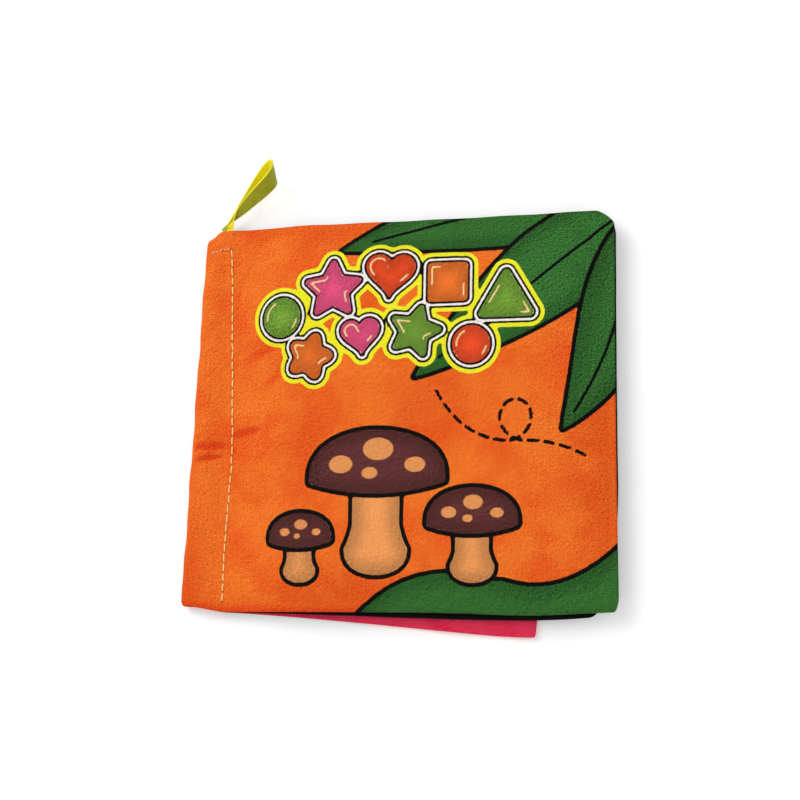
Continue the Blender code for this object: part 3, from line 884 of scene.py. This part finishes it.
# Painted shade at the needle holes: a darker orange where the needle went in.
needle = bell((fx - stitch_line(fy)) / needle_reach) * needle_beat(fy) ** 5
holes = np.where(fy < stitch_top + 0.0006, hole_edge - hole_depth * needle, 1)
paint(front_cover, "needle_holes", holes)
front_cover.data.materials.append(cloth_material(
    "orange_cover_cloth", orange, deep_orange,
    [("shapes", line_width, black), ("shapes", 0, "shape_tint"), ("spots", 0, tan),
     ("marks", 0, black), ("badges", 2.85, yellow), ("badges", 1.75, black),
     ("badges", 1.18, white), ("badges", 0.58, black), ("badges", 0, "badge_tint"),
     (glint_distance, 0, cream), ("needle_holes", 0, linear(184, 106, 36))]))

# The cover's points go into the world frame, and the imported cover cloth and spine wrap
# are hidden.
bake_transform(front_cover)
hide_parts("front_cover_cloth", "spine_wrap")


# Inner pages and back cover: five more plies of the same twill, each printed in its own
# colours. A lining runs past the stitches into the spine, and so does the middle leaf. The
# front lining ends lower than the head there, to leave room for the ribbon's ends.
tail_length = 0.0140
page_shade, page_shade_reach = 0.5, 0.0012
page_t = stations(book_height, 0.00016, 0.00092)[:, None] / book_height
page_y = foot_y + book_height * page_t
page_s = stations(1, 0.0018, 0.0088)[None, :]


def spine_start(low, high):
    """The x inside the spine's fold that a ply between these two heights can reach."""
    half = spine_height / 2
    bend = half - cloth - layer_gap
    off_middle = max(abs(low - half), abs(high - half))
    return half - spine_width(page_y) - math.sqrt(max(bend**2 - off_middle**2, 0))


def page(name, leaf, on_top, start, relief, cloth_name, ground, deep, shapes, lines=(),
         border=None):
    """One ply of a leaf: the leaf's face with its relief, rounded over at the seams, and
    the face further in. The underside is worked out as a top turned upside down. Its print
    is shapes and pale lines; on some, the cloth is black out to this many millimetres from the seams."""
    x = start + (leaf.free_edge(page_t) - start) * page_s
    y = leaf.up(x, page_t)
    faces = leaf.faces(x, y)
    flat, side = faces[on_top], 1 if on_top else -1
    shown = np.maximum(flat + relief(x, y), 0) - side * seam_round(leaf, x, y)
    hidden = side * inner_face(side * shown, side * sum(faces) / 2)
    high, low = (shown, hidden) if on_top else (hidden, shown)
    piece = shell(name, place(x, y, high), place(x, y, low), np.stack([x, y], axis=-1))
    # Painted shade: the ply's colour deepens where its relief is deep and beside its seams.
    relief_depth_share = np.clip(np.abs(shown - flat) / deep_hollow, 0, 1)
    by_seam = np.exp(-leaf.to_seam(x, y) / page_shade_reach)
    paint(piece, "hollow", np.maximum(page_shade * relief_depth_share, page_shade * by_seam))
    paint_picture(piece, x, y, "shape", shapes)
    inks = [("shapes", line_width, black), ("shapes", 0, "shape_tint")]
    if border:
        paint(piece, "to_edge", leaf.to_seam(x, y) * 1000)
        inks.append(("to_edge", border, black))
    if lines:
        paint(piece, "marks", strokes(x, y, lines, 0.5))
        inks.append(("marks", 0, cream))
    piece.data.materials.append(cloth_material(cloth_name, ground, deep, inks))
    return piece


# The front leaf's lining: navy, with stars and a moon.
night = [star(28, 26, 11, yellow), star(74, -26, 9, yellow, 1.2), star(48, -4, 6, white, 1.9, 0.6),
         disc(80, 22, 13, cream), star(24, -32, 7, white, 1.4, 0.6), disc(52, 40, 3.5, white)]
front_lining = page(
    "front_lining_page", front_leaf, False,
    np.where(page_y < head_y - tail_length - layer_gap, spine_start(0.0028, 0.0032), -layer_gap),
    between_front_and_middle, "navy_cloth", linear(28, 34, 84), linear(16, 18, 50), night)
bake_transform(front_lining)
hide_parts("front_lining", "front_lining_tuck")

# The middle leaf's front: dark green, black within 3.2 mm of its sewn edges, and flowers.
garden = []
for cx, cy, r, tone in ((26, 24, 9, pink), (62, 32, 8, yellow), (90, 10, 9, rust),
                        (40, -10, 8, white), (74, -28, 9, pink), (22, -36, 7, yellow)):
    garden.append((leaf_outline((cx, cy), (cx + 6, cy - 10), (cx + 14, cy - 16), 8), 0, lime))
    garden.append(disc(cx, cy, r, tone, 0.22, 6))
    garden.append(disc(cx, cy, r * 0.32, rust if tone is not rust else yellow))
middle_front = page(
    "middle_front_page", middle_leaf, True, spine_start(0.0014, 0.0025),
    between_front_and_middle, "green_cloth", linear(38, 92, 52), linear(22, 60, 36), garden,
    border=3.2)
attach(middle_front, "spine_and_middle_leaf")
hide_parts("middle_page_front")

# Its back: teal, with a boat, a sun and waves.
wave_x = np.linspace(2, 106, 60)
waves = [np.stack([wave_x, level + 2.2 * np.sin(wave_x / 4.2 + level)], -1)
         for level in (-40, -28, -16, -4)]
sea = [(((34, 2), (40, -8), (66, -8), (72, 2)), 1, red),
       (((52, 5), (52, 34), (34, 8)), 0.6, white), (((55, 5), (55, 30), (70, 8)), 0.6, yellow),
       disc(90, 38, 8, yellow)]
middle_back = page(
    "middle_back_page", middle_leaf, False, spine_start(0.0014, 0.0025),
    between_middle_and_back, "teal_cloth", linear(40, 128, 142), linear(24, 92, 110), sea, waves,
    border=3.2)
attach(middle_back, "spine_and_middle_leaf")
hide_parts("middle_page_back")

# The back leaf's lining: pink, with hearts.
hearts = [heart(24, 22, 10, red), heart(64, 18, 12, white, -0.15), heart(42, -18, 11, yellow, 0.12),
          heart(76, -30, 9, red), disc(44, 40, 4, white), disc(18, -38, 4.5, yellow)]
back_lining = page(
    "back_lining_page", back_leaf, True, spine_start(0.0007, 0.0011), between_middle_and_back,
    "pink_cloth", linear(255, 64, 102), linear(240, 34, 76), hearts)
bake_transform(back_lining)
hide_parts("back_lining", "back_lining_tuck")


def back_face(x, y):
    return relief_of(back_leaf, back_cover_relief, 0, x, y, back_puckers) + back_line_sink(x, y)


# The back cover: orange as the front, sewn on at the stitch line over the end of the wrap.
back_shapes = [(leaf_outline((-6, -60), (20, -20), (44, 6), 24), 0, leaf_green),
               (leaf_outline((-4, -62), (40, -48), (66, -30), 20), 0, leaf_green),
               disc(64, 26, 9, lime), heart(40, 32, 8, pink), star(18, 34, 9, yellow)]
back_cover = page("back_cover", back_leaf, False, 0.00005 + 0 * page_y, back_face,
                  "orange_back_cloth", orange, deep_orange, back_shapes)
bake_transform(back_cover)
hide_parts("back_cover_cloth")


# Fillings: each leaf holds a thin pad of polyester wadding and a loose sheet of crinkled
# film that rustles, cut smaller than the leaf so that they stay clear of its seams.
film_room, filling_gap, film_thickness = 0.00055, 0.0001, 0.00006
filling_start, filling_margin, filling_corner = 0.0147, 0.0062, 0.012
film_bed, film_reserve = 0.00006, 0.00020


def plain_material(name, colour, roughness, noise_scale, bump_height, sheen=0.0):
    """A rough plain finish whose colour and height follow one noise."""
    material, tree = new_material(name)
    spot = add(tree, "TexCoord", {}, {}).outputs["Object"]
    grain = noise(tree, spot, noise_scale, 4)
    dark = tuple(0.94 * c for c in colour[:3]) + (1,)
    finish_surface(tree, mix_colours(tree, grain, dark, colour),
                   math_node(tree, "MULTIPLY_ADD", grain, 0.15, roughness), grain, 0.5,
                   bump_height, {"Sheen Weight": sheen})
    return material


wadding = plain_material("wadding", linear(238, 236, 230), 0.85, 900, 0.0004, 0.2)
film = plain_material("crinkle_film", linear(208, 214, 222), 0.15, 260, 0.0002)


def filling_grid(leaf):
    """x, y over the filling, in from the seams, with round corners, and the distance to its
    nearest edge as a share of its width."""
    side = np.linspace(0, 1, 64)
    rows = filling_margin + (book_height - 2 * filling_margin) * side[:, None]
    inset = corner_cut(np.minimum(rows, book_height - rows) - filling_margin, filling_corner,
                       filling_corner)
    left = filling_start + inset
    right = leaf.free_edge(rows / book_height) - filling_margin - inset
    x = left + (right - left) * side[None, :]
    inwards = np.minimum(side, 1 - side)
    return x, leaf.up(x, rows / book_height), np.minimum(inwards[:, None], inwards[None, :])


def fill_leaf(name, leaf, film_above, body, below, above, seed):
    """The pad and the film inside one leaf. Both follow the middle of the space between the
    plies; the pad thins to a soft edge, and the film is bent along straight creases."""
    x, y, rim = filling_grid(leaf)
    cut = np.stack([x, y], -1)
    under, top = leaf.faces(x, y)
    low = under + below(x, y) + cloth + filling_gap
    high = top + above(x, y) - cloth - filling_gap
    pad_low = low + (0 if film_above else film_room)
    pad_high = high - (film_room if film_above else 0)
    soft = 0.35 + 0.65 * crown(rim / 0.06)
    centre, half = (pad_low + pad_high) / 2, (pad_high - pad_low) / 2 * soft
    half = half * (1 - 0.10 * (1 + np.sin(x * 700 + seed) * np.sin(y * 610 + seed)) / 2)
    pad = shell(name + "_pad", place(x, y, centre + half), place(x, y, centre - half), cut)
    pad.data.materials.append(wadding)
    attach(pad, body)
    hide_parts(name)
    random = np.random.default_rng(seed)
    crumple = 0 * x
    for angle, phase, spacing in zip(random.uniform(0, math.pi, 9), random.uniform(0, 1, 9),
                                     random.uniform(0.007, 0.022, 9)):
        run = (x * np.cos(angle) + y * np.sin(angle)) / spacing + phase
        crumple = crumple + np.abs(run % 1 - 0.5) * spacing
    crumple = (crumple - crumple.min()) / (crumple.max() - crumple.min())
    bed = high - film_room if film_above else low
    z = bed + film_bed + crumple * (film_room - film_reserve)
    sheet = shell(name.replace("padding", "film") + "_sheet", place(x, y, z + film_thickness),
                  place(x, y, z), cut)
    sheet.data.materials.append(film)
    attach(sheet, body)
    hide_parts(name.replace("padding", "crinkle_film"))


def cover_face(x, y):
    return cover_wrinkles(x, y) + cover_creases(x, y)


def no_relief(x, y):
    return 0 * x


fill_leaf("front_padding", front_leaf, False, "front_leaf", between_front_and_middle, cover_face, 2)
fill_leaf("middle_padding", middle_leaf, True, "spine_and_middle_leaf", between_middle_and_back,
          between_front_and_middle, 4)
fill_leaf("back_padding", back_leaf, True, "back_leaf", no_relief, between_middle_and_back, 6)


# Ribbon loop: a yellow-green satin ribbon, folded in half, its two ends sewn into the head
# seam. At the seam the legs lean to the right, one behind the other. Beyond the pinch the
# band stands on its edge and the legs bow apart, so that the loop is open from above.
ribbon_thickness, ribbon_leg_gap, ribbon_clearance = 0.0003, 0.00024, 0.0007
ribbon_base_width, ribbon_base_middle, ribbon_base_depth = 0.0034, -0.0023, 0.0004
ribbon_tail_width, ribbon_tail_middle = 0.0026, -0.0016
ribbon_eye_width, ribbon_pinch_share, ribbon_axis_bow = 0.0043, 0.30, 0.0010
ribbon_overlap, ribbon_lean_share, ribbon_overlap_share = 1.1, 0.45, 0.012
ribbon_tuck_share, ribbon_sink_share = 0.05, 0.12
selvedge_middle, selvedge_reach, ribbon_ripple = 0.045, 0.03, 0.00006
ribbon_band_width, ribbon_cut_per_turn = 0.0062, 0.0075
ribbon_upper_run = np.array((0.0149, 0.0175, 0.0075))
ribbon_lower_run = np.array((0.0148, 0.0127, 0.0020))


def unit(vectors):
    return vectors / np.linalg.norm(vectors, axis=-1, keepdims=True)


def ribbon_middle(phase, v):
    """The band's middle face. Phase goes once round the loop and v across the band: each
    edge runs out and back along its own bowed line, set off sideways by a sine times the
    fifth power of the half angle's sine. At the seam the first leg leans beneath the second.
    Phase below 0 or above a turn is a tail."""
    tail = np.maximum(-phase, 0) + np.maximum(phase - 2 * math.pi, 0)
    phase = np.clip(phase, 0, 2 * math.pi)
    leg_side = unit(np.cross(ribbon_lower_run - ribbon_upper_run,
                             ribbon_upper_run + ribbon_lower_run))
    out = (1 - np.cos(phase)) / 2
    turn = smooth(out / ribbon_pinch_share)
    across = np.array((1, 0, 0))
    side = unit(across + (leg_side - across) * turn[..., None])
    bow = np.sin(phase) * np.sin(phase / 2) ** 5 / (2 * (6 / 7) ** 3 * math.sqrt(1 / 7))
    tucked = smooth(tail / ribbon_tuck_share)
    leaning = v * (1 - smooth(out / ribbon_lean_share))
    beneath = ribbon_overlap * smooth(out / ribbon_overlap_share) * leaning
    lean = np.where(phase < math.pi, (1 - v) * (1 - turn) - beneath, leaning)
    lean = lean * (ribbon_base_width + (ribbon_tail_width - ribbon_base_width) * tucked) / 2
    spread = ribbon_eye_width / 2 * bow * turn * (1 - 0.3 * v)
    spread = spread + (ribbon_leg_gap / 2 + lean) * np.cos(phase / 2)
    middle = (ribbon_upper_run * out[..., None] * (1 - v)[..., None]
              + ribbon_lower_run * (out**1.1 * v)[..., None] + side * spread[..., None])
    bowed = ribbon_axis_bow * np.sin(math.pi * out**0.7) * (1 - v)
    middle = middle + bowed[..., None] * np.array((-0.87, 0.49, 0))
    start_x = ribbon_base_middle + (ribbon_tail_middle - ribbon_base_middle) * tucked
    start_z = (2 * (seam_thickness + layer_gap) + cloth / 2
               - ribbon_base_depth * (1 - smooth(tail / ribbon_sink_share)) * v)
    start_y = head_y + ribbon_clearance - tail_length * tail
    return middle + np.stack([stitch_x + start_x, start_y, start_z], axis=-1)


def ribbon_grids():
    """Both faces of the band, set off along its normal. The band is thicker at its woven
    edges, which are rounded."""
    rounds = np.concatenate([np.linspace(-1, 0, 12, endpoint=False),
                             np.linspace(0, 2 * math.pi, 150),
                             2 * math.pi + np.linspace(1, 0, 12, endpoint=False)[::-1]])
    phase, v = np.meshgrid(rounds, (1 - np.cos(np.linspace(0, math.pi, 25))) / 2, indexing="ij")
    step = 0.01
    along = ribbon_middle(phase + step, v) - ribbon_middle(phase - step, v)
    width = ribbon_middle(phase, 0 * v + 1) - ribbon_middle(phase, 0 * v)
    normal = unit(np.cross(width, along))
    from_edge = np.minimum(v, 1 - v)
    bead = bell((from_edge - selvedge_middle) / selvedge_reach)
    inwards = np.clip(from_edge / selvedge_middle, 0, 1)
    rounding = np.sqrt(np.clip(1 - (1 - inwards) ** 2, 0, 1))
    half = ribbon_thickness / 2 * (0.62 + 0.62 * bead) * (0.1 + 0.9 * rounding)
    ripple = ribbon_ripple * np.sin(phase * 9) * np.sin(math.pi * v)
    centre = ribbon_middle(phase, v) + normal * ripple[..., None]
    return centre + normal * half[..., None], centre - normal * half[..., None], phase, v


outer, inner, phase, v = ribbon_grids()
ribbon = shell("ribbon_band", outer, inner,
               np.stack([v * ribbon_band_width, phase * ribbon_cut_per_turn], axis=-1))
paint(ribbon, "selvedge", v)
# The inside value picks the lit copy of the satin's colour for the inner face.
paint(ribbon, "inside", 0 * v, 0 * v + 1)
satin, tree = new_material("ribbon_satin")
spot = add(tree, "UVMap", {"uv_map": "cut"}, {}).outputs[0]
along_cut = add(tree, "SeparateXYZ", {}, {0: spot}).outputs[1]
cords = math_node(tree, "SINE", math_node(tree, "MULTIPLY", along_cut, 2 * math.pi / 0.00034))
floats = noise(tree, spot, 900, 2)
# Painted light: the band's outer face is a shaded, olive copy of its yellow and its inner face a lit,
# bright copy; its woven edges get a painted highlight.
edge_highlight_share = ramp(tree, painted(tree, "selvedge"), 0.05, 0.11, 1, 0)
shaded_outer_colour = mix_colours(tree, floats, linear(140, 142, 6), linear(182, 184, 26))
lit_inner_colour = mix_colours(tree, floats, linear(236, 216, 4), linear(255, 246, 28))
satin_colour = mix_colours(tree, painted(tree, "inside"), shaded_outer_colour, lit_inner_colour)
satin_colour = mix_colours(tree, edge_highlight_share, satin_colour, linear(252, 244, 50))
finish_surface(tree, satin_colour, math_node(tree, "MULTIPLY_ADD", floats, 0.2, 0.30),
               math_node(tree, "MULTIPLY_ADD", cords, 0.3, floats), 0.4, 0.00006,
               {"Specular IOR Level": 0.3, "Sheen Weight": 0.05})
ribbon.data.materials.append(satin)
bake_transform(ribbon)
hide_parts("ribbon_loop", "ribbon_tails")


# Stitching: cream polyester thread. One row of lockstitches binds the book from head to
# foot, on both covers, and a short row across the head of the strip holds the ribbon.
thread_rings, thread_sides = 11, 8
stitch_jitter, stitch_inset, most_stitches = 0.00007, 0.00026, 39


def stitch_mesh(name, starts, ends, facing, radius, arch, sink):
    """Short bent threads, facing up at 1 and down at -1: each runs from its start to its end,
    lifted by one less the sixth power of the distance from its middle, and thins into the
    cloth at both ends."""
    u = np.linspace(0, 1, thread_rings)
    middle, up = 2 * u - 1, np.array((0.0, 0.0, facing))
    lift = (arch + sink) * (1 - middle**6) - sink
    run = ends - starts
    centres = starts[:, None] + run[:, None] * u[None, :, None] + up * lift[None, :, None]
    tangent = unit(run[:, None] + up * (-(arch + sink) * 12 * middle**5)[None, :, None])
    side = unit(np.cross(tangent, up))
    rise = np.cross(side, tangent)
    angle = np.arange(thread_sides) * 2 * math.pi / thread_sides
    thick = radius * (1 - 0.45 * middle**8)[None, :, None, None]
    rim = side[:, :, None] * np.cos(angle)[:, None] + rise[:, :, None] * np.sin(angle)[:, None]
    points = centres[:, :, None] + rim * thick
    index = np.arange(len(starts) * thread_rings * thread_sides)
    index = index.reshape(len(starts), thread_rings, thread_sides)
    after = np.roll(index, -1, axis=2)
    quads = np.stack([index[:, :-1], after[:, :-1], after[:, 1:], index[:, 1:]], -1).reshape(-1, 4)
    caps = np.concatenate([index[:, 0, ::-1], index[:, -1]])
    piece = mesh_piece(name, points, quads.tolist() + caps.tolist())
    piece.data.shade_smooth()
    return piece


def cover_height(x, y):
    """Height of the finished cover along the stitch line."""
    raised = front_leaf.faces(x, y)[1] + cover_wrinkles(x, y) * free_of_stitches(x, y)
    return np.where(x < 0, spine_height, raised) - stitch_sink(x, y)


thread = plain_material("cream_thread", linear(255, 232, 146), 0.55, 2600, 0.00008)
pale_thread = plain_material("pale_orange_thread", linear(255, 190, 132), 0.55, 2600, 0.00008)
needle_y = stitch_top - stitch_pitch * np.arange(most_stitches)
needle_y = needle_y[needle_y > foot_y + 0.0006]
jitter = np.random.default_rng(9).normal(0, stitch_jitter, (4, len(needle_y) - 1))
tops = needle_y[:-1] - stitch_inset + jitter[2]
bottoms = needle_y[1:] + stitch_inset + jitter[3]
ax, bx = stitch_line(tops) + jitter[0], stitch_line(bottoms) + jitter[1]
front_z, back_z = cover_height((ax + bx) / 2, (tops + bottoms) / 2), 0.00024 + 0 * tops
front_stitches = stitch_mesh("front_stitches", place(ax, tops, front_z),
                             place(bx, bottoms, front_z), 1, 0.00018, 0.00022, 0.00025)
back_stitches = stitch_mesh("back_stitches", place(bx, bottoms, back_z),
                            place(ax, tops, back_z), -1, 0.00015, 0.00005, 0.0003)
tack_x = np.array((-0.0064, -0.0053, -0.0041, -0.0030, -0.0019, -0.0009))
tack_y = np.interp(tack_x, (-0.0064, -0.0026, -0.0009), (0.0474, 0.0483, 0.0486))
tack_y = tack_y + np.array((-0.0002, 0.0001, -0.0001, 0.0003, -0.0002, 0.0001))
tack_points = place(tack_x, tack_y, spine_height + 0.00022)
tack_gap = (0.00018, -0.00012, 0)
tack_stitches = stitch_mesh("head_tack_stitches", tack_points[:-1] + tack_gap,
                            tack_points[1:] - tack_gap, 1, 0.00017, 0.00012, 0.0003)
for piece, material in ((front_stitches, thread), (back_stitches, thread),
                        (tack_stitches, pale_thread)):
    piece.data.materials.append(material)
    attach(piece, "spine_and_middle_leaf")


# Studio: a white floor that keeps a soft shadow, an even white surround, and one broad lamp
# above the head of the book, to the left.
def seen_rays(tree):
    """Is 1 for a ray that shows the surround: straight, in gloss or through glass."""
    rays = add(tree, "LightPath", {}, {}).outputs
    seen = math_node(tree, "MAXIMUM", rays["Is Camera Ray"], rays["Is Glossy Ray"])
    return math_node(tree, "MAXIMUM", seen, rays["Is Transmission Ray"])


floor_size, floor_z = 3, -0.0001
floor = mesh_piece("floor", np.array([(-floor_size, -floor_size, floor_z),
                                      (floor_size, -floor_size, floor_z),
                                      (floor_size, floor_size, floor_z),
                                      (-floor_size, floor_size, floor_z)]), [(0, 1, 2, 3)])
floor_material, tree = new_material("white_floor")
seen = seen_rays(tree)
paper = noise(tree, add(tree, "TexCoord", {}, {}).outputs["Object"], 30, 4)
paper = mix_colours(tree, paper, (0.78, 0.78, 0.78, 1), (0.82, 0.82, 0.82, 1))
sockets = tree.nodes["Principled BSDF"].inputs
tree.links.new(mix_colours(tree, seen, paper, (1, 1, 1, 1)), sockets["Base Color"])
tree.links.new(mix_colours(tree, seen, (0, 0, 0, 1), (1, 1, 1, 1)), sockets["Emission Color"])
for name, value in (("Emission Strength", 0.16), ("Roughness", 0.9), ("Specular IOR Level", 0.1)):
    sockets[name].default_value = value
floor.data.materials.append(floor_material)

world = bpy.data.worlds.new("surround")
bpy.context.scene.world = world
world.use_nodes = True
tree = world.node_tree
background = tree.nodes["Background"].inputs
background["Color"].default_value = (1, 1, 1, 1)
tree.links.new(math_node(tree, "MULTIPLY_ADD", seen_rays(tree), 0.24, 0.76), background["Strength"])

lamp_data = bpy.data.lights.new("key_lamp", "AREA")
lamp_data.size = 0.9
lamp_data.energy = 7.6
lamp = stand("key_lamp", lamp_data)
lamp.location = (-0.80, 0.64, 1.10)
lamp.rotation_euler = lamp.location.to_track_quat("Z", "Y").to_euler()
